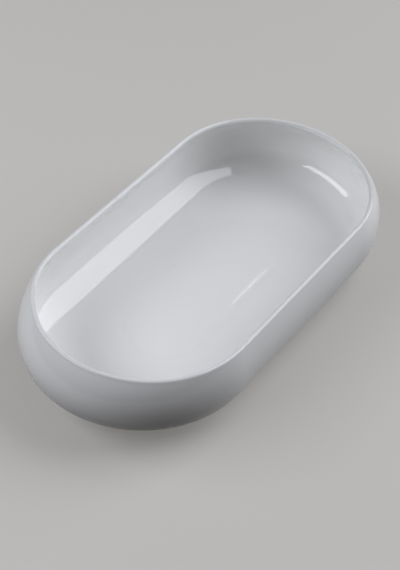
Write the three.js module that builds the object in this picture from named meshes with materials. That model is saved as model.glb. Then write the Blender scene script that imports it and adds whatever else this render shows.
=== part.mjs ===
// Oblong serving bowl of slip-cast porcelain: straight sides, round ends, a belly that leans in to a
// rolled lip, and a small oblong foot ring. Millimetres, +Z up, +X along the bowl. The origin is on the
// table, under the middle of the bowl.
//
// The bowl is one fired clay body. A clear glaze coats it all over, apart from the edge of the foot ring,
// which is wiped bare before firing. The glaze is two coats that the bare edge keeps apart.
import * as THREE from "three";

// Outside of the glazed bowl. The belly is its widest line.
const overallLength = 300;
const overallWidth = 153;
const overallHeight = 55;
const bellyHeight = 32;

// Mouth between the inner edges of the lip. Its ends are half circles.
const mouthLength = 273;
const mouthWidth = 135;

// Wall from the belly to its fully rounded lip, and the floor.
const wallThickness = 3.6;
const floorThickness = 4.4;
const wallLeanAtLip = THREE.MathUtils.degToRad(27);

// Foot ring, along the middle of its bare edge. Its ends are half circles.
const footLength = 142;
const footWidth = 54.6;
const footHeight = 4;
const footEdgeWidth = 4;
const footEdgeRound = 0.9;
const footRootSpread = 4;

// Shallow groove in the floor above the foot ring: a crease between soft shoulders.
const grooveWidth = 8.5;
const grooveDepth = 0.36;

// Glaze, and the height on the foot ring where it ends.
const glazeThickness = 0.4;
const glazeLineHeight = 1.4;

// Level flats, as shares of the way out to the belly: the underside's from the foot ring, and the floor's
// from the groove. At its sides the underside has none.
const undersideFlatAtEnds = 0.26;
const floorFlatAtEnds = 0.47;
const floorFlatAtSides = 0.093;

// How full the curves are: the reach of each curve's handles as a share of the curve's own run or rise.
const undersideFullness = 0.565;
const bellyFullness = 0.8;
const floorFullness = 0.7;
const insideFullness = 0.75;
const shoulderFullness = 0.38;
const lipApproach = 0.3;

// Steps along each stretch of the section, and round each end of the plan.
const endSteps = 20;
const bellySteps = 10;
const shoulderSteps = 6;
const lipSteps = 6;
const footRootSteps = 4;

// A plan outline: half its straight sides, then how far its ends and its sides stand beyond them.
const outlineOf = (length, width, straight) => ({
  straight: straight / 2,
  end: (length - straight) / 2,
  side: width / 2,
});
const widened = (outline, by) => ({ ...outline, end: outline.end + by, side: outline.side + by });
const blended = (from, to, share) => ({
  straight: THREE.MathUtils.lerp(from.straight, to.straight, share),
  end: THREE.MathUtils.lerp(from.end, to.end, share),
  side: THREE.MathUtils.lerp(from.side, to.side, share),
});
// Outline part of the way from an inner outline to an outer one, with the straight sides of the outer one.
const within = (inner, outer, shareAtEnds, shareAtSides) => ({
  straight: outer.straight,
  end:
    THREE.MathUtils.lerp(inner.straight + inner.end, outer.straight + outer.end, shareAtEnds) - outer.straight,
  side: THREE.MathUtils.lerp(inner.side, outer.side, shareAtSides),
});

const mouthStraight = mouthLength - mouthWidth;
const mouth = outlineOf(mouthLength, mouthWidth, mouthStraight);
const belly = outlineOf(overallLength, overallWidth, mouthStraight);
const foot = outlineOf(footLength, footWidth, footLength - footWidth);

// A ring is an outline at a height. A curve from one outline to another holds the share of the way in x
// and the height in y.
const ringAt = (outline, z) => ({ outline, z });
const ringsAlong = (curve, from, to, steps) =>
  curve.getPoints(steps).map((p) => ringAt(blended(from, to, p.x), p.y));
const point = (x, y) => new THREE.Vector2(x, y);

// The same rings, moved square to the surface into the clay. The rings run up the outside, over the lip
// and down the inside, so the clay lies on their left.
function inset(rings, depth) {
  return rings.map((ring, i) => {
    const before = rings[Math.max(i - 1, 0)];
    const after = rings[Math.min(i + 1, rings.length - 1)];
    const along = point(after.outline.side - before.outline.side, after.z - before.z).normalize();
    return ringAt(widened(ring.outline, -depth * along.y), ring.z + depth * along.x);
  });
}

// Root of the foot ring on one side, from the ring's bare edge to the underside of the bowl. Side is 1
// outside the ring and -1 inside it.
const footFlank = footEdgeWidth / 2 + footEdgeRound;
const footRootReach = footFlank + footRootSpread;
function footRoot(side) {
  const curve = new THREE.QuadraticBezierCurve(
    point(0, glazeLineHeight),
    point(0, footHeight),
    point(1, footHeight),
  );
  return ringsAlong(
    curve,
    widened(foot, side * footFlank),
    widened(foot, side * footRootReach),
    footRootSteps,
  );
}

// Bare edge of the foot ring, from the glaze line inside it to the glaze line outside it.
function footEdge() {
  const half = footEdgeWidth / 2;
  const bareFlank = footFlank - glazeThickness;
  return [
    ringAt(widened(foot, -bareFlank), footEdgeRound),
    ringAt(widened(foot, -half), 0),
    ringAt(widened(foot, half), 0),
    ringAt(widened(foot, bareFlank), footEdgeRound),
  ];
}

// Ring of the rounded lip. The turn is 0 on its outside and a quarter turn on top.
function lipRing(turn) {
  const radius = wallThickness / 2;
  const outline = widened(mouth, radius + radius * Math.cos(turn));
  return ringAt(outline, overallHeight - radius + radius * Math.sin(turn));
}

// Rounded corner from the edge of a level flat up to the belly.
function corner(edge, level, widest, lowFullness, highFullness) {
  const curve = new THREE.CubicBezierCurve(
    point(0, level),
    point(lowFullness, level),
    point(1, bellyHeight - highFullness * (bellyHeight - level)),
    point(1, bellyHeight),
  );
  return ringsAlong(curve, edge, widest, bellySteps);
}

// Outside wall, from the edge of the underside to the lip.
function outsideWall() {
  const edge = within(widened(foot, footRootReach), belly, undersideFlatAtEnds, 0);
  const top = lipRing(wallLeanAtLip);
  const rise = top.z - bellyHeight;
  const run = belly.side - top.outline.side;
  const approach = lipApproach * rise;
  const shoulder = new THREE.CubicBezierCurve(
    point(0, bellyHeight),
    point(0, bellyHeight + shoulderFullness * rise),
    point(1 - (approach * Math.tan(wallLeanAtLip)) / run, top.z - approach),
    point(1, top.z),
  );
  return [
    ...corner(edge, footHeight, belly, undersideFullness, bellyFullness),
    ...ringsAlong(shoulder, belly, top.outline, shoulderSteps).slice(1),
  ];
}

// Half round of the lip, from the outside of the wall to its inside.
function lip() {
  const rings = [];
  for (let i = 1; i <= lipSteps; i++) {
    rings.push(lipRing(wallLeanAtLip + (Math.PI * i) / lipSteps));
  }
  return rings;
}

// Inside wall, from the lip down to the edge of the floor. Below the belly its corner is tighter than the
// outside one.
const floorLevel = footHeight + floorThickness;
function insideWall(outside) {
  const shoulder = inset(outside, wallThickness).slice(bellySteps + 1, -1);
  const innerBelly = widened(belly, -wallThickness);
  const edge = within(widened(foot, grooveWidth / 2), innerBelly, floorFlatAtEnds, floorFlatAtSides);
  return [...corner(edge, floorLevel, innerBelly, floorFullness, insideFullness), ...shoulder].reverse();
}

// Floor, from the groove above the foot ring to its middle.
function floor() {
  return [
    [grooveWidth / 2, 0],
    [grooveWidth / 4, grooveDepth / 4],
    [0, grooveDepth],
    [-grooveWidth / 4, grooveDepth / 4],
    [-grooveWidth / 2, 0],
  ].map(([offset, depth]) => ringAt(widened(foot, offset), floorLevel - depth));
}

// Points of a ring, counter-clockwise from above.
function ringPoints({ outline, z }) {
  const points = [];
  for (const end of [1, -1]) {
    for (let i = 0; i <= endSteps; i++) {
      const turn = Math.PI * (i / endSteps - 0.5);
      const x = outline.straight + outline.end * Math.cos(turn);
      points.push(new THREE.Vector3(end * x, end * outline.side * Math.sin(turn), z));
    }
  }
  return points;
}

// Closed solid through rings, with a flat face inside its first and its last ring. Two solids that share
// rings meet face to face: the diagonals of the faces between them follow the rings' heights.
function solidThrough(rings) {
  const loops = rings.map(ringPoints);
  const count = loops[0].length;
  const index = [];
  for (let k = 0; k + 1 < loops.length; k++) {
    for (let j = 0; j < count; j++) {
      const next = (j + 1) % count;
      const [a, b, c, d] = [k * count + j, k * count + next, (k + 1) * count + j, (k + 1) * count + next];
      index.push(...(rings[k + 1].z > rings[k].z ? [a, b, c, b, d, c] : [a, b, d, a, d, c]));
    }
  }
  const flat = THREE.ShapeUtils.triangulateShape(loops[0].map((p) => point(p.x, p.y)), []);
  const last = (loops.length - 1) * count;
  for (const [a, b, c] of flat) {
    index.push(a, c, b);
    index.push(last + a, last + b, last + c);
  }
  const geometry = new THREE.BufferGeometry().setFromPoints(loops.flat());
  geometry.setIndex(index);
  geometry.computeVertexNormals();
  return geometry;
}

function namedMesh(name, rings, material) {
  const mesh = new THREE.Mesh(solidThrough(rings), material);
  mesh.name = name;
  return mesh;
}

// The glazed surfaces: the recess inside the foot ring, and everything from the foot ring's outside, over
// the lip, to the middle of the floor.
const wall = outsideWall();
const recessSkin = footRoot(-1).reverse();
const bowlSkin = [
  ...footRoot(1).slice(0, -1),
  ...wall,
  ...lip(),
  ...insideWall(wall),
  ...floor(),
];
const recessClay = inset(recessSkin, glazeThickness);
const bowlClay = inset(bowlSkin, glazeThickness);

const clay = new THREE.MeshStandardMaterial({ color: 0xe6e2da, roughness: 0.75, metalness: 0 });
const glaze = new THREE.MeshStandardMaterial({ color: 0xf1f1f0, roughness: 0.1, metalness: 0 });

const bowl = new THREE.Group();
bowl.add(
  namedMesh("porcelain_body", [...recessClay, ...footEdge(), ...bowlClay], clay),
  namedMesh("glaze_coat", [...bowlClay.toReversed(), ...bowlSkin], glaze.clone()),
  namedMesh("base_glaze", [...recessSkin, ...recessClay.toReversed()], glaze.clone()),
);

export default bowl;
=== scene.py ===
"""Oblong serving bowl of white glazed porcelain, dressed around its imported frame.

The bowl is one slip-cast body. A gloss glaze coats it all over, apart from the edge of the foot ring, which
is wiped bare before firing, so the glaze is two coats. Every piece is a stack of level rings: each ring has
straight sides and round ends, and the next ring is extruded from it. Metres, +Z up, +X along the bowl.
"""

import math
from typing import NamedTuple

import bmesh
import bpy
from bpy.props import FloatProperty, FloatVectorProperty, IntProperty, PointerProperty
from mathutils import Matrix, Vector
from mathutils.geometry import interpolate_bezier


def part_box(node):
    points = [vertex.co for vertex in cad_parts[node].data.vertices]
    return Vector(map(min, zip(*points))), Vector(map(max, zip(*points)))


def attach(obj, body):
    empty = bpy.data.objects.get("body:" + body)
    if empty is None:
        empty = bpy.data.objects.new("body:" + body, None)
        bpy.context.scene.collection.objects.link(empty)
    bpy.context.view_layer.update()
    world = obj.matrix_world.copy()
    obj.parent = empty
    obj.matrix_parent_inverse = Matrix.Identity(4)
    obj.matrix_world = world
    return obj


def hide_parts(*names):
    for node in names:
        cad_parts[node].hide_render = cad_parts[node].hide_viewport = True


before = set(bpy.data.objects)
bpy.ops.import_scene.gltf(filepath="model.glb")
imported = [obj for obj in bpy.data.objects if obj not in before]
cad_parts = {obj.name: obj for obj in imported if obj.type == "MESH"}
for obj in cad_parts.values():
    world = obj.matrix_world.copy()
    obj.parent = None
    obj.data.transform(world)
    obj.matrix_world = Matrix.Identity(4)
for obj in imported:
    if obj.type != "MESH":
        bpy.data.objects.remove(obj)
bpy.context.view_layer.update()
coat_low, coat_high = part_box("glaze_coat")

bl_info = {
    "name": "Oblong serving bowl",
    "version": (1, 0, 0),
    "blender": (4, 5, 0),
    "location": "View3D > Sidebar > Bowl",
    "description": "Builds a glazed porcelain serving bowl, its glaze coats and a plain studio",
    "category": "Object",
}


def length(name, description, default):
    """A size in metres that the user can change."""
    return FloatProperty(
        name=name, description=description, default=default, min=0.0, precision=5, unit="LENGTH"
    )


def share(name, description, default):
    """A plain factor that the user can change."""
    return FloatProperty(
        name=name, description=description, default=default, min=0.0, max=1.0, subtype="FACTOR"
    )


def colour(name, description, default):
    """A linear colour that the user can change."""
    return FloatVectorProperty(
        name=name, description=description, default=default, min=0.0, max=1.0, subtype="COLOR"
    )


def count(name, description, default):
    """A number of steps that the user can change."""
    return IntProperty(name=name, description=description, default=default, min=1)


class BowlSizes(bpy.types.PropertyGroup):
    """Sizes of the bowl. The overall ones are the frame's."""

    overall_length: length("Length", "Length at the belly", coat_high.x - coat_low.x)
    overall_width: length("Width", "Width at the belly", coat_high.y - coat_low.y)
    overall_height: length("Height", "Height of the lip over the table", coat_high.z)
    belly_height: length("Belly height", "Height of the widest line", 0.032)
    mouth_length: length("Mouth length", "Length between the lip's inner edges", 0.273)
    mouth_width: length("Mouth width", "Width between the lip's inner edges", 0.135)
    wall: length("Wall", "Thickness of the glazed wall from the belly up", 0.0036)
    floor: length("Floor", "Thickness of the glazed floor", 0.0044)
    lip_lean: FloatProperty(
        name="Lip lean",
        description="How far the wall leans in at the lip",
        default=math.radians(27),
        subtype="ANGLE",
    )
    foot_length: length("Foot length", "Length of the foot ring, along the middle of its edge", 0.142)
    foot_width: length("Foot width", "Width of the foot ring, across the middle of its edge", 0.0546)
    foot_height: length("Foot height", "Height of the foot ring", 0.004)
    foot_edge: length("Foot edge", "Width of the ring's flat bare edge", 0.004)
    foot_round: length("Foot round", "Rounding at both sides of the bare edge", 0.0009)
    foot_spread: length("Foot spread", "Reach of the hollow between the ring and the underside", 0.004)
    groove_width: length("Groove width", "Width of the groove in the floor over the foot ring", 0.0085)
    groove_depth: length("Groove depth", "Depth of that groove", 0.00036)
    groove_margin: length("Groove margin", "Flat strip on both sides of that groove", 0.0004)
    glaze: length("Glaze", "Thickness of the glaze", 0.0004)
    glaze_line: length("Glaze line", "Height on the foot ring where the glaze ends", coat_low.z)
    underside_flat: share("Underside flat", "Level part at the ends, from foot to belly", 0.26)
    underside_fullness: share("Underside fullness", "How far the underside stays low before it rises", 0.565)
    belly_fullness: share("Belly fullness", "How upright the outside is below the belly", 0.8)
    floor_flat_ends: share("Floor flat, ends", "Level part at the ends, from groove to wall", 0.47)
    floor_flat_sides: share("Floor flat, sides", "Level part at the sides, from groove to wall", 0.093)
    floor_fullness: share("Floor fullness", "How far the floor stays low before it rises", 0.7)
    inside_fullness: share("Inside fullness", "How upright the inside is below the belly", 0.75)
    shoulder_fullness: share("Shoulder fullness", "How upright the wall is above the belly", 0.38)
    lip_approach: share("Lip approach", "How straight the wall runs up to the lip", 0.3)


class BowlSteps(bpy.types.PropertyGroup):
    """Steps round the plan and along the section of the finished meshes."""

    end: count("End", "Steps round each end", 64)
    side: count("Side", "Steps along each straight side", 24)
    belly: count("Belly", "Steps from the foot ring to the belly", 36)
    shoulder: count("Shoulder", "Steps from the belly to the lip", 20)
    lip: count("Lip", "Steps over the lip", 14)
    hollow: count("Hollow", "Steps in the hollow beside the foot ring", 10)
    groove: count("Groove", "Steps across the groove in the floor", 20)
    rounding: count("Rounding", "Steps round the small edges", 5)


class BowlFinish(bpy.types.PropertyGroup):
    """Colours of the bowl and of the studio round it."""

    glaze_colour: colour("Glaze", "White body seen through the clear glaze", (0.934, 0.935, 0.925))
    drift_colour: colour("Glaze drift", "The same body where it fired a little greyer", (0.918, 0.919, 0.910))
    # Lip colour: partly the thinner glaze over the lip, partly painted shade that darkens the lip's top,
    # where the lamps light it most.
    thin_lip_and_shade_colour: colour("Lip", "Where the glaze runs thin over the lip", (0.852, 0.856, 0.856))
    pool_colour: colour("Pool", "Where the glaze gathers low down", (0.915, 0.918, 0.911))
    clay_colour: colour("Bare clay", "Fired porcelain on the foot ring's edge", (0.70, 0.67, 0.61))
    stain_colour: colour("Stain", "Marks of the table on the bare clay", (0.52, 0.48, 0.42))
    fleck_colour: colour("Fleck", "Iron flecks of the clay", (0.46, 0.43, 0.39))
    floor_colour: colour("Floor", "Pale floor of the studio", (0.46, 0.449, 0.429))
    bounce_colour: colour("Bounce", "Light that the floor throws back at the bowl", (0.035, 0.032, 0.029))
    room_colour: colour("Room", "Studio beyond the floor", (0.03, 0.03, 0.03))


class Ring(NamedTuple):
    """A level outline: half its straight sides, how far its ends and its sides stand out, and its height."""

    straight: float
    end: float
    side: float
    height: float

    def widened(self, by, rise=0.0):
        """The ring, wider all round and higher."""
        return Ring(self.straight, self.end + by, self.side + by, self.height + rise)

    def towards(self, other, part, height):
        """A ring part of the way to another one, at a height."""
        between = [mine + (its - mine) * part for mine, its in zip(self, other)]
        return Ring(*between[:3], height)

    def within(self, outer, at_ends, at_sides):
        """A ring at this height, with the outer one's straight sides, part of the way out to it."""
        reach = self.straight + self.end
        end = reach + (outer.straight + outer.end - reach) * at_ends - outer.straight
        return Ring(outer.straight, end, self.side + (outer.side - self.side) * at_sides, self.height)


def oblong(whole_length, whole_width, straight, height):
    """A ring by its outer sizes."""
    return Ring(straight / 2, (whole_length - straight) / 2, whole_width / 2, height)


def foot_ring(sizes, height=0.0):
    """The middle of the foot ring's edge, whose ends are half circles."""
    return oblong(sizes.foot_length, sizes.foot_width, sizes.foot_length - sizes.foot_width, height)


def mouth_straight(sizes):
    """Straight run of the mouth, whose ends are half circles."""
    return sizes.mouth_length - sizes.mouth_width


def belly_ring(sizes):
    """Widest line of the bowl."""
    return oblong(sizes.overall_length, sizes.overall_width, mouth_straight(sizes), sizes.belly_height)


def rings_along(low, high, handles, steps):
    """Rings on a curve from one ring to another. A handle holds the part of the way across and the height."""
    knots = [Vector(knot) for knot in ((0.0, low.height), *handles, (1.0, high.height))]
    return [low.towards(high, p.x, p.y) for p in interpolate_bezier(*knots, steps + 1)]


def sunk(rings, depth):
    """The rings moved square to the surface into the clay, which lies on their left."""
    moved = []
    for i, ring in enumerate(rings):
        before, after = rings[max(i - 1, 0)], rings[min(i + 1, len(rings) - 1)]
        along = Vector((after.side - before.side, after.height - before.height)).normalized()
        moved.append(ring.widened(-depth * along.y, depth * along.x))
    return moved


def foot_flank(sizes):
    """From the middle of the foot ring's edge to its glazed flank."""
    return sizes.foot_edge / 2 + sizes.foot_round


def foot_hollow(sizes, steps, facing):
    """Rings from the glaze line up the ring's flank to the underside. Facing is 1 outside and -1 inside."""
    flank = foot_ring(sizes, sizes.glaze_line).widened(facing * foot_flank(sizes))
    root = foot_ring(sizes, sizes.foot_height).widened(facing * (foot_flank(sizes) + sizes.foot_spread))
    rise = sizes.foot_height - sizes.glaze_line
    # Both handles lie two thirds of the way to the corner where the flank would meet the underside.
    handles = ((0.0, sizes.glaze_line + rise * 2 / 3), (1 / 3, sizes.foot_height))
    return rings_along(flank, root, handles, steps.hollow)


def lip_ring(sizes, turn):
    """Ring of the round lip. The turn is 0 on its outside and a quarter turn on top."""
    radius = sizes.wall / 2
    middle = sizes.overall_height - radius
    mouth = oblong(sizes.mouth_length, sizes.mouth_width, mouth_straight(sizes), middle)
    return mouth.widened(radius + radius * math.cos(turn), radius * math.sin(turn))


def corner(edge, belly, low, upright, steps):
    """Rings of a rounded corner, from the edge of a level flat up to the belly."""
    handles = ((low, edge.height), (1.0, belly.height - upright * (belly.height - edge.height)))
    return rings_along(edge, belly, handles, steps.belly)


def outside_wall(sizes, steps):
    """Rings from the edge of the underside, round the belly, to the lip."""
    root = foot_ring(sizes, sizes.foot_height).widened(foot_flank(sizes) + sizes.foot_spread)
    belly, top = belly_ring(sizes), lip_ring(sizes, sizes.lip_lean)
    edge = root.within(belly, sizes.underside_flat, 0.0)
    rise = top.height - belly.height
    approach = sizes.lip_approach * rise
    lean = approach * math.tan(sizes.lip_lean) / (belly.side - top.side)
    handles = ((0.0, belly.height + sizes.shoulder_fullness * rise), (1.0 - lean, top.height - approach))
    return [
        *corner(edge, belly, sizes.underside_fullness, sizes.belly_fullness, steps),
        *rings_along(belly, top, handles, steps.shoulder)[1:],
    ]


def lip(sizes, steps):
    """Rings over the lip, from the outside of the wall to its inside."""
    return [lip_ring(sizes, sizes.lip_lean + math.pi * i / steps.lip) for i in range(1, steps.lip + 1)]


def inside_wall(sizes, steps):
    """Rings from the lip down to the edge of the floor."""
    upper = sunk(outside_wall(sizes, steps), sizes.wall)[steps.belly + 1 : -1]
    belly = belly_ring(sizes).widened(-sizes.wall)
    groove = foot_ring(sizes, sizes.foot_height + sizes.floor).widened(sizes.groove_width / 2)
    edge = groove.within(belly, sizes.floor_flat_ends, sizes.floor_flat_sides)
    return [*upper[::-1], *corner(edge, belly, sizes.floor_fullness, sizes.inside_fullness, steps)[::-1]]


def bowl_floor(sizes, steps):
    """Rings across the groove, to the middle of the floor, with a flat margin on both of its sides."""
    level = foot_ring(sizes, sizes.foot_height + sizes.floor)
    half = sizes.groove_width / 2
    rings = [level.widened(half + sizes.groove_margin)]
    for i in range(steps.groove + 1):
        across = 1.0 - 2.0 * i / steps.groove
        rings.append(level.widened(across * half, -sizes.groove_depth * (1.0 - abs(across)) ** 2))
    return [*rings, level.widened(-half - sizes.groove_margin)]


def coat_skin(sizes, steps):
    """Glazed surface from the foot ring's glaze line, over the lip, to the middle of the floor."""
    return [
        *foot_hollow(sizes, steps, 1)[:-1],
        *outside_wall(sizes, steps),
        *lip(sizes, steps),
        *inside_wall(sizes, steps),
        *bowl_floor(sizes, steps),
    ]


def recess_skin(sizes, steps):
    """Glazed surface under the floor, from its middle down to the foot ring's inner glaze line."""
    return foot_hollow(sizes, steps, -1)[::-1]


def bare_edge(sizes, steps):
    """Bare edge of the foot ring, from its inner flank to its outer one."""
    ring = foot_ring(sizes, sizes.foot_round)
    half = sizes.foot_edge / 2
    round_width = sizes.foot_round - sizes.glaze
    corner = []
    for i in range(steps.rounding + 1):
        turn = math.pi / 2 * i / steps.rounding
        corner.append((half + round_width * math.sin(turn), -sizes.foot_round * math.cos(turn)))
    inner = [ring.widened(-out, rise) for out, rise in reversed(corner)]
    return inner + [ring.widened(out, rise) for out, rise in corner]


def plan_places(steps):
    """Places round a ring, each as its parts of the ring's straight, end and side."""
    places = []
    for turned in (1, -1):
        for i in range(steps.end):
            angle = math.pi * (i / steps.end - 0.5)
            places.append((turned, turned * math.cos(angle), turned * math.sin(angle)))
        for i in range(steps.side):
            places.append((turned * (1 - 2 * i / steps.side), 0.0, turned))
    return places


# Faces that meet at more than this angle are shaded with an edge between them.
EDGE_ANGLE = math.radians(35)


def stacked_rings(name, rings, steps, material):
    """A closed piece: a flat face in the first ring, walls extruded ring by ring, a flat face in the last."""
    places = plan_places(steps)
    bm = bmesh.new()
    order = bm.verts.layers.int.new("place")

    def settle(verts, ring):
        for vert in verts:
            along, out, across = places[vert[order]]
            vert.co = (along * ring.straight + out * ring.end, across * ring.side, ring.height)

    first = bmesh.ops.create_circle(bm, cap_ends=True, segments=len(places), radius=1.0)["verts"]
    for i, vert in enumerate(first):
        vert[order] = i
    settle(first, rings[0])
    loop = bm.edges[:]
    for ring in rings[1:]:
        grown = bmesh.ops.extrude_edge_only(bm, edges=loop)["geom"]
        loop = [part for part in grown if isinstance(part, bmesh.types.BMEdge)]
        settle([part for part in grown if isinstance(part, bmesh.types.BMVert)], ring)
    bmesh.ops.edgeloop_fill(bm, edges=loop)
    bmesh.ops.recalc_face_normals(bm, faces=bm.faces[:])
    bm.verts.layers.int.remove(order)

    mesh = bpy.data.meshes.new(name)
    bm.to_mesh(mesh)
    bm.free()
    mesh.shade_smooth()
    mesh.set_sharp_from_angle(angle=EDGE_ANGLE)
    mesh.materials.append(material)
    piece = bpy.data.objects.new(name, mesh)
    bpy.context.scene.collection.objects.link(piece)
    return piece


def fit_to_frame(piece, node):
    """The piece stands for a node of the frame, whose own mesh is hidden, and rides on the root body."""
    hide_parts(node)
    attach(piece, "root")


def new_material(name):
    """A material with nothing but a Principled shader and its output."""
    material = bpy.data.materials.new(name)
    material.use_nodes = True
    return material, material.node_tree.nodes, material.node_tree.links


def noise(tree, place, scale, detail, low, high):
    """A noise over the place, stretched so that low becomes 0 and high becomes 1."""
    texture = tree.nodes.new("ShaderNodeTexNoise")
    texture.inputs["Scale"].default_value = scale
    texture.inputs["Detail"].default_value = detail
    tree.links.new(place, texture.inputs["Vector"])
    return stretched(tree, texture.outputs["Fac"], low, high, 0.0, 1.0)


def stretched(tree, value, low, high, to_low, to_high):
    """A value mapped from one range to another and kept inside it."""
    span = tree.nodes.new("ShaderNodeMapRange")
    for socket, level in zip(("From Min", "From Max", "To Min", "To Max"), (low, high, to_low, to_high)):
        span.inputs[socket].default_value = level
    tree.links.new(value, span.inputs["Value"])
    return span.outputs["Result"]


# Places of the colour sockets on a Mix node, whose sockets share their names.
MIX_FIRST, MIX_SECOND, MIX_RESULT = 6, 7, 2


def mixed(tree, factor, first, second):
    """A colour between two others. Each is a socket or a plain colour."""
    mix = tree.nodes.new("ShaderNodeMix")
    mix.data_type = "RGBA"
    tree.links.new(factor, mix.inputs["Factor"])
    for socket, value in ((mix.inputs[MIX_FIRST], first), (mix.inputs[MIX_SECOND], second)):
        if isinstance(value, bpy.types.NodeSocket):
            tree.links.new(value, socket)
        else:
            socket.default_value = (*value, 1.0)
    return mix.outputs[MIX_RESULT]


def reckoned(tree, operation, first, second):
    """Two values put together. Each is a socket or a plain number."""
    sum_node = tree.nodes.new("ShaderNodeMath")
    sum_node.operation = operation
    for socket, value in zip(sum_node.inputs, (first, second)):
        if isinstance(value, bpy.types.NodeSocket):
            tree.links.new(value, socket)
        else:
            socket.default_value = value
    return sum_node.outputs["Value"]


def porcelain_group():
    """Node group of the fired body, for glaze and bare clay: slow drift of tone, flecks and a fine grain."""
    made = bpy.data.node_groups.get("porcelain_body_tone")
    if made:
        return made
    tree = bpy.data.node_groups.new("porcelain_body_tone", "ShaderNodeTree")
    for name in ("Body", "Drift", "Fleck"):
        tree.interface.new_socket(name, in_out="INPUT", socket_type="NodeSocketColor")
    tree.interface.new_socket("Fleck Share", in_out="INPUT", socket_type="NodeSocketFloat")
    tree.interface.new_socket("Color", in_out="OUTPUT", socket_type="NodeSocketColor")
    tree.interface.new_socket("Grain", in_out="OUTPUT", socket_type="NodeSocketFloat")
    given = tree.nodes.new("NodeGroupInput").outputs
    result = tree.nodes.new("NodeGroupOutput").inputs
    place = tree.nodes.new("ShaderNodeTexCoord").outputs["Object"]
    drift = noise(tree, place, scale=16.0, detail=3.0, low=0.32, high=0.68)
    grain = noise(tree, place, scale=1400.0, detail=2.0, low=0.25, high=0.75)
    cells = tree.nodes.new("ShaderNodeTexVoronoi")
    cells.inputs["Scale"].default_value = 110.0
    tree.links.new(place, cells.inputs["Vector"])
    chosen = tree.nodes.new("ShaderNodeSeparateColor")
    tree.links.new(cells.outputs["Color"], chosen.inputs["Color"])
    near = stretched(tree, cells.outputs["Distance"], low=0.02, high=0.05, to_low=1.0, to_high=0.0)
    picked = reckoned(tree, "LESS_THAN", chosen.outputs["Red"], given["Fleck Share"])
    fleck = reckoned(tree, "MULTIPLY", near, picked)
    body = mixed(tree, drift, given["Body"], given["Drift"])
    tree.links.new(mixed(tree, fleck, body, given["Fleck"]), result["Color"])
    tree.links.new(grain, result["Grain"])
    return tree


def body_tone(tree, body, drift, fleck, fleck_share):
    """The porcelain group placed in a material with its own colours."""
    node = tree.nodes.new("ShaderNodeGroup")
    node.node_tree = porcelain_group()
    for socket, value in (("Body", body), ("Drift", drift), ("Fleck", fleck)):
        node.inputs[socket].default_value = (*value, 1.0)
    node.inputs["Fleck Share"].default_value = fleck_share
    return node.outputs


def bump(tree, height, strength, distance):
    """Heights in a bump node, whose normal goes to the shader."""
    node = tree.nodes.new("ShaderNodeBump")
    node.inputs["Strength"].default_value = strength
    node.inputs["Distance"].default_value = distance
    tree.links.new(height, node.inputs["Height"])
    tree.links.new(node.outputs["Normal"], tree.nodes["Principled BSDF"].inputs["Normal"])


# Gloss of the glaze, and the share of its fine peel beside its slow waves.
GLAZE_IOR = 1.54
PEEL_SHARE = 0.02

# Where the gathered glaze fades, as heights over the floor, and where the lip darkens, as depths below the
# lip: partly thinner glaze, partly painted shade on the lip's top.
POOL_START, POOL_END = 0.0002, 0.0046
LIP_THIN_AND_SHADE_START, LIP_THIN_AND_SHADE_END = 0.0018, 0.0001


def glaze_material(scene):
    """Clear gloss glaze over white porcelain: thin on the lip, with painted shade on the lip's top, deeper on
    the floor, a little uneven.
    """
    sizes, finish = scene.bowl_sizes, scene.bowl_finish
    material, nodes, links = new_material("gloss_glaze")
    tree = material.node_tree
    shader = nodes["Principled BSDF"]
    shader.inputs["IOR"].default_value = GLAZE_IOR
    tone = body_tone(tree, finish.glaze_colour, finish.drift_colour, finish.fleck_colour, fleck_share=0.012)
    place = nodes.new("ShaderNodeTexCoord").outputs["Object"]
    split = nodes.new("ShaderNodeSeparateXYZ")
    links.new(place, split.inputs["Vector"])
    height, floor, top = split.outputs["Z"], sizes.foot_height + sizes.floor, sizes.overall_height
    pool = stretched(tree, height, floor + POOL_START, floor + POOL_END, to_low=1.0, to_high=0.0)
    # Painted shade: the top of the lip takes a darker colour, partly for the thinner glaze there and partly
    # to darken the light that falls strongly on it.
    thin = stretched(tree, height, top - LIP_THIN_AND_SHADE_START, top - LIP_THIN_AND_SHADE_END, to_low=0.0, to_high=1.0)
    pooled = mixed(tree, pool, tone["Color"], finish.pool_colour)
    links.new(mixed(tree, thin, pooled, finish.thin_lip_and_shade_colour), shader.inputs["Base Color"])
    wiped = noise(tree, place, scale=42.0, detail=4.0, low=0.3, high=0.7)
    rough = stretched(tree, wiped, low=0.0, high=1.0, to_low=0.018, to_high=0.036)
    links.new(rough, shader.inputs["Roughness"])
    waves = noise(tree, place, scale=34.0, detail=2.0, low=0.2, high=0.8)
    fine = noise(tree, place, scale=420.0, detail=1.0, low=0.2, high=0.8)
    peel = reckoned(tree, "MULTIPLY", fine, PEEL_SHARE)
    bump(tree, reckoned(tree, "ADD", waves, peel), strength=0.07, distance=0.0001)
    return material


def clay_material(scene):
    """Bare fired porcelain, with the marks of the table."""
    finish = scene.bowl_finish
    material, nodes, links = new_material("bare_porcelain")
    tree = material.node_tree
    shader = nodes["Principled BSDF"]
    tone = body_tone(tree, finish.clay_colour, finish.glaze_colour, finish.fleck_colour, fleck_share=0.08)
    place = nodes.new("ShaderNodeTexCoord").outputs["Object"]
    stain = noise(tree, place, scale=120.0, detail=5.0, low=0.52, high=0.78)
    links.new(mixed(tree, stain, tone["Color"], finish.stain_colour), shader.inputs["Base Color"])
    rough = stretched(tree, tone["Grain"], low=0.0, high=1.0, to_low=0.60, to_high=0.78)
    links.new(rough, shader.inputs["Roughness"])
    bump(tree, tone["Grain"], strength=0.25, distance=0.0002)
    return material


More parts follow.
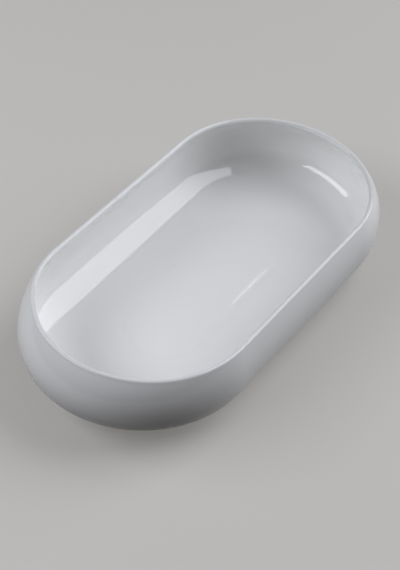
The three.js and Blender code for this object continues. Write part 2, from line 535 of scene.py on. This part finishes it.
def seen_rays(tree):
    """1 for rays of the camera, of mirrors and of glass, and 0 for light that falls on the bowl."""
    path = tree.nodes.new("ShaderNodeLightPath").outputs
    mirrored = reckoned(tree, "ADD", path["Is Camera Ray"], path["Is Glossy Ray"])
    return reckoned(tree, "ADD", mirrored, path["Is Transmission Ray"])


def material_once(name, make):
    """The material of that name, made the first time that a piece needs it."""
    return bpy.data.materials.get(name) or make(bpy.context.scene)


class BOWL_OT_porcelain_body(bpy.types.Operator):
    """Clay body, of which only the foot ring's edge is bare"""

    bl_idname = "bowl.porcelain_body"
    bl_label = "Porcelain body"

    def execute(self, context):
        sizes, steps = context.scene.bowl_sizes, context.scene.bowl_steps
        rings = [
            *sunk(recess_skin(sizes, steps), sizes.glaze),
            *bare_edge(sizes, steps),
            *sunk(coat_skin(sizes, steps), sizes.glaze),
        ]
        piece = stacked_rings("bowl_body", rings, steps, material_once("bare_porcelain", clay_material))
        fit_to_frame(piece, "porcelain_body")
        return {"FINISHED"}


class BOWL_OT_glaze_coat(bpy.types.Operator):
    """Glaze over the outside, the lip and the inside"""

    bl_idname = "bowl.glaze_coat"
    bl_label = "Glaze coat"

    def execute(self, context):
        sizes, steps = context.scene.bowl_sizes, context.scene.bowl_steps
        skin = coat_skin(sizes, steps)
        rings = [*sunk(skin, sizes.glaze)[::-1], *skin]
        piece = stacked_rings("bowl_glaze", rings, steps, material_once("gloss_glaze", glaze_material))
        fit_to_frame(piece, "glaze_coat")
        return {"FINISHED"}


class BOWL_OT_base_glaze(bpy.types.Operator):
    """Glaze in the recess inside the foot ring"""

    bl_idname = "bowl.base_glaze"
    bl_label = "Base glaze"

    def execute(self, context):
        sizes, steps = context.scene.bowl_sizes, context.scene.bowl_steps
        skin = recess_skin(sizes, steps)
        rings = [*skin, *sunk(skin, sizes.glaze)[::-1]]
        piece = stacked_rings("base_glaze_disc", rings, steps, material_once("gloss_glaze", glaze_material))
        fit_to_frame(piece, "base_glaze")
        return {"FINISHED"}


# Camera of the photograph: where it aims, where it stands from there, how it is rolled, and its lens.
AIM = Vector((-0.0125, -0.0040, 0.025))
VIEW_AZIMUTH = math.radians(-59.63)
VIEW_ELEVATION = math.radians(43.89)
VIEW_ROLL = math.radians(6.01)
VIEW_DISTANCE = 1.0571
SENSOR_MM = 36.0
LENS_MM = 103.65


class Lamp(NamedTuple):
    """A soft lamp: where it stands and how it is tilted in degrees, lengths in metres, power in watts."""

    azimuth: float
    elevation: float
    tilt: float
    distance: float
    width: float
    height: float
    power: float


# Each lamp stands where the glaze mirrors it: a long strip, a short streak and a fine line.
LAMPS = {
    "right_softbox": Lamp(57.0, 39.0, tilt=0.0, distance=2.0, width=1.64, height=2.24, power=35.0),
    "left_softbox": Lamp(-134.0, 40.0, tilt=5.0, distance=1.2, width=1.24, height=0.42, power=7.9),
    "tube": Lamp(116.4, 43.7, tilt=-126.8, distance=1.51, width=0.079, height=0.0013, power=0.0027),
}

# Cool white of the lamps.
LAMP_COLOUR = (0.935, 0.95, 1.0)

# Light of the room beyond the lamps.
ROOM_LIGHT = 0.012

# Floor: its reach each way in metres, its roughness, and the light of its own that only seen rays meet.
FLOOR_REACH = 30.0
FLOOR_ROUGHNESS = 0.6
FLOOR_GLOW = 0.36


def standing(azimuth, elevation):
    """Direction from the bowl to a place. Azimuth 0 is towards -Y and 90 towards +X."""
    level = math.cos(elevation)
    return Vector((math.sin(azimuth) * level, -math.cos(azimuth) * level, math.sin(elevation)))


class BOWL_OT_studio(bpy.types.Operator):
    """Pale floor, soft lamps and the photograph's camera"""

    bl_idname = "bowl.studio"
    bl_label = "Studio"

    def execute(self, context):
        self.add_floor(context)
        self.add_world(context)
        for name, lamp in LAMPS.items():
            self.add_lamp(context, name, lamp)
        self.add_camera(context)
        context.scene.view_settings.view_transform = "Standard"
        return {"FINISHED"}

    def add_floor(self, context):
        material, nodes, links = new_material("pale_floor")
        finish, tree = context.scene.bowl_finish, material.node_tree
        shader = nodes["Principled BSDF"]
        shader.inputs["Roughness"].default_value = FLOOR_ROUGHNESS
        shader.inputs["Emission Strength"].default_value = FLOOR_GLOW
        seen = seen_rays(tree)
        links.new(mixed(tree, seen, finish.bounce_colour, finish.floor_colour), shader.inputs["Base Color"])
        links.new(mixed(tree, seen, (0.0, 0.0, 0.0), finish.floor_colour), shader.inputs["Emission Color"])
        bm = bmesh.new()
        bmesh.ops.create_grid(bm, x_segments=1, y_segments=1, size=FLOOR_REACH)
        mesh = bpy.data.meshes.new("studio_floor")
        bm.to_mesh(mesh)
        bm.free()
        mesh.materials.append(material)
        floor = bpy.data.objects.new("studio_floor", mesh)
        context.scene.collection.objects.link(floor)

    def add_world(self, context):
        world = bpy.data.worlds.new("studio_room")
        world.use_nodes = True
        tree = world.node_tree
        tint = mixed(tree, seen_rays(tree), (ROOM_LIGHT,) * 3, context.scene.bowl_finish.room_colour)
        tree.links.new(tint, tree.nodes["Background"].inputs["Color"])
        context.scene.world = world

    def add_lamp(self, context, name, lamp):
        light = bpy.data.lights.new(name, "AREA")
        light.shape = "RECTANGLE"
        light.size, light.size_y = lamp.width, lamp.height
        light.energy = lamp.power
        light.color = LAMP_COLOUR
        stand = bpy.data.objects.new(name, light)
        away = standing(math.radians(lamp.azimuth), math.radians(lamp.elevation))
        stand.location = away * lamp.distance
        tilted = Matrix.Rotation(math.radians(lamp.tilt), 3, "Z")
        stand.rotation_euler = (away.to_track_quat("Z", "Y").to_matrix() @ tilted).to_euler()
        context.scene.collection.objects.link(stand)

    def add_camera(self, context):
        back = standing(VIEW_AZIMUTH, VIEW_ELEVATION)
        right = Vector((math.cos(VIEW_AZIMUTH), math.sin(VIEW_AZIMUTH), 0.0))
        axes = Matrix((right, back.cross(right), back)).transposed()
        camera = bpy.data.cameras.new("photo_camera")
        camera.sensor_width = SENSOR_MM
        camera.lens = LENS_MM
        stand = bpy.data.objects.new("photo_camera", camera)
        rolled = axes @ Matrix.Rotation(VIEW_ROLL, 3, "Z")
        stand.matrix_world = Matrix.Translation(AIM + back * VIEW_DISTANCE) @ rolled.to_4x4()
        context.scene.collection.objects.link(stand)
        context.scene.camera = stand


class BOWL_PT_panel(bpy.types.Panel):
    """Sizes, colours and pieces of the bowl"""

    bl_idname = "BOWL_PT_panel"
    bl_label = "Oblong serving bowl"
    bl_space_type = "VIEW_3D"
    bl_region_type = "UI"
    bl_category = "Bowl"

    def draw(self, context):
        for group in (context.scene.bowl_sizes, context.scene.bowl_steps, context.scene.bowl_finish):
            box = self.layout.box()
            for name in group.bl_rna.properties.keys():
                if name not in ("rna_type", "name"):
                    box.prop(group, name)
        for operator in OPERATORS:
            self.layout.operator(operator.bl_idname)


OPERATORS = (BOWL_OT_porcelain_body, BOWL_OT_glaze_coat, BOWL_OT_base_glaze, BOWL_OT_studio)
CLASSES = (BowlSizes, BowlSteps, BowlFinish, *OPERATORS, BOWL_PT_panel)


def register():
    for cls in CLASSES:
        bpy.utils.register_class(cls)
    bpy.types.Scene.bowl_sizes = PointerProperty(type=BowlSizes)
    bpy.types.Scene.bowl_steps = PointerProperty(type=BowlSteps)
    bpy.types.Scene.bowl_finish = PointerProperty(type=BowlFinish)


def unregister():
    del bpy.types.Scene.bowl_finish
    del bpy.types.Scene.bowl_steps
    del bpy.types.Scene.bowl_sizes
    for cls in reversed(CLASSES):
        bpy.utils.unregister_class(cls)


def main():
    register()
    bpy.ops.bowl.porcelain_body()
    bpy.ops.bowl.glaze_coat()
    bpy.ops.bowl.base_glaze()
    bpy.ops.bowl.studio()


if __name__ == "__main__":
    main()
